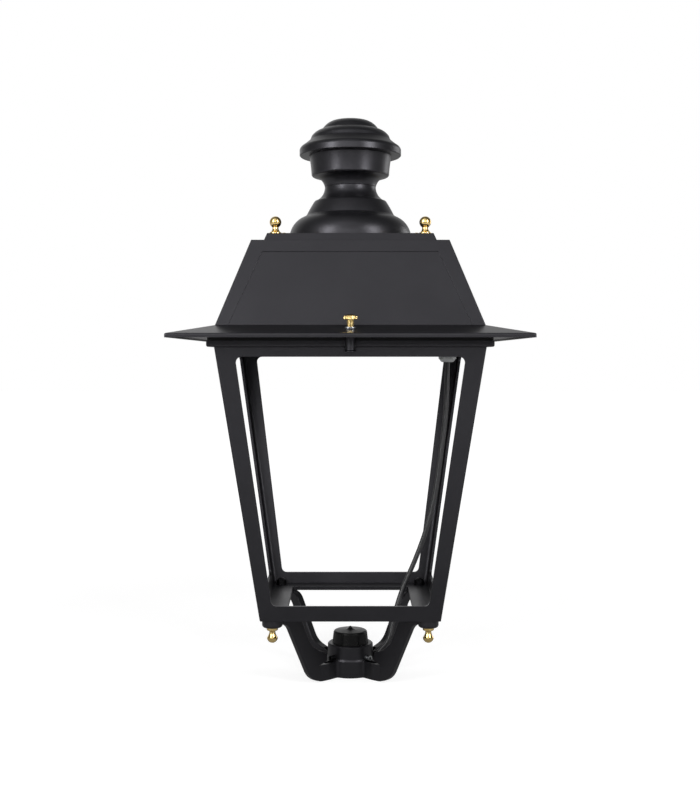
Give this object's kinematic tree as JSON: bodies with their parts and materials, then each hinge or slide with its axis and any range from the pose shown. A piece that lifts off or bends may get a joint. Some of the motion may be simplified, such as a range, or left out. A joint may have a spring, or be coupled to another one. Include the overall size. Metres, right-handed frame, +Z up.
{
  "type": "street lantern",
  "caption": "Four-sided tapered post-top street lantern with an open frame, a hinged pyramid hood, a chimney finial and a yoke that sockets onto a post.",
  "frame": {"origin": "centre of the mouth of the post socket, at the underside of the hub", "axes": "+Z up along the post; -Y is the front, where the thumb screw is; +Y is the hinge side; +X is the side the cable runs on"},
  "size_m": [0.4796, 0.4796, 0.8271],
  "materials": {
    "cast_paint": "satin black powder coat on cast aluminium",
    "tray_paint": "black paint on folded steel sheet",
    "brass": "polished brass",
    "rubber": "soft black rubber",
    "cable_sheath": "black cable sheath",
    "zinc_steel": "bright zinc plated steel",
    "black_steel": "blackened steel fasteners",
    "diffuser_plastic": "frosted white plastic",
    "board_mask": "white circuit board with yellow light chips",
    "bare_aluminium": "bare cast aluminium",
    "driver_plastic": "light grey moulded case",
    "terminal_plastic": "cream moulded plastic",
    "gland_plastic": "light grey nylon"
  },
  "bodies": {
    "lantern_body": {"base_yoke": "cast_paint", "set_screw_front_right": "zinc_steel", "socket_set_screws": "black_steel", "top_plug": "rubber", "cable_entry_bush": "rubber", "lantern_frame": "cast_paint", "corner_washers": "black_steel", "corner_nuts": "black_steel", "lower_finial_front_left": "brass", "lower_finial_front_right": "brass", "lower_finial_back_left": "brass", "lower_finial_back_right": "brass", "hood_gasket": "rubber", "hinge_pin_left": "zinc_steel", "hinge_pin_right": "zinc_steel", "gear_tray": "tray_paint", "tray_screws": "zinc_steel", "light_diffuser": "diffuser_plastic", "light_board": "board_mask", "heat_sink": "bare_aluminium", "light_driver": "driver_plastic", "terminal_block": "terminal_plastic", "gland_body": "gland_plastic", "gland_nut": "gland_plastic", "gland_locknut": "gland_plastic", "power_cable": "cable_sheath"},
    "hood": {"roof_hood": "cast_paint", "roof_cap": "cast_paint", "chimney_bell": "cast_paint", "chimney_drum": "cast_paint", "chimney_cap": "cast_paint", "chimney_tie_rod": "zinc_steel", "tie_rod_nut": "zinc_steel", "tie_rod_washer": "zinc_steel", "cap_screws": "zinc_steel", "upper_finial_front_left": "brass", "upper_finial_front_right": "brass", "upper_finial_back_left": "brass", "upper_finial_back_right": "brass", "finial_nuts": "zinc_steel", "screw_seat_washer": "zinc_steel"},
    "screw_carrier": {"screw_clip": "zinc_steel"},
    "screw": {"thumb_screw": "brass"}
  },
  "joints": [
    {"name": "hood_hinge", "type": "hinge", "parent": "lantern_body", "child": "hood", "pos_m": [0, 0.206, 0.4903], "axis": [-1, 0, 0], "range_deg": [0, 95]},
    {"name": "screw_lift", "type": "slide", "parent": "hood", "child": "screw_carrier", "axis": [0, 0, 1], "range_m": [0, 0.011]},
    {"name": "screw_turn", "type": "hinge", "parent": "screw_carrier", "child": "screw", "pos_m": [0, -0.204, 0.4903], "axis": [0, 0, 1], "range_deg": [0, 3960]}
  ],
  "couplings": [
    {"joint": "screw_turn", "follows": "screw_lift", "rad_per_m": 6283.2}
  ]
}
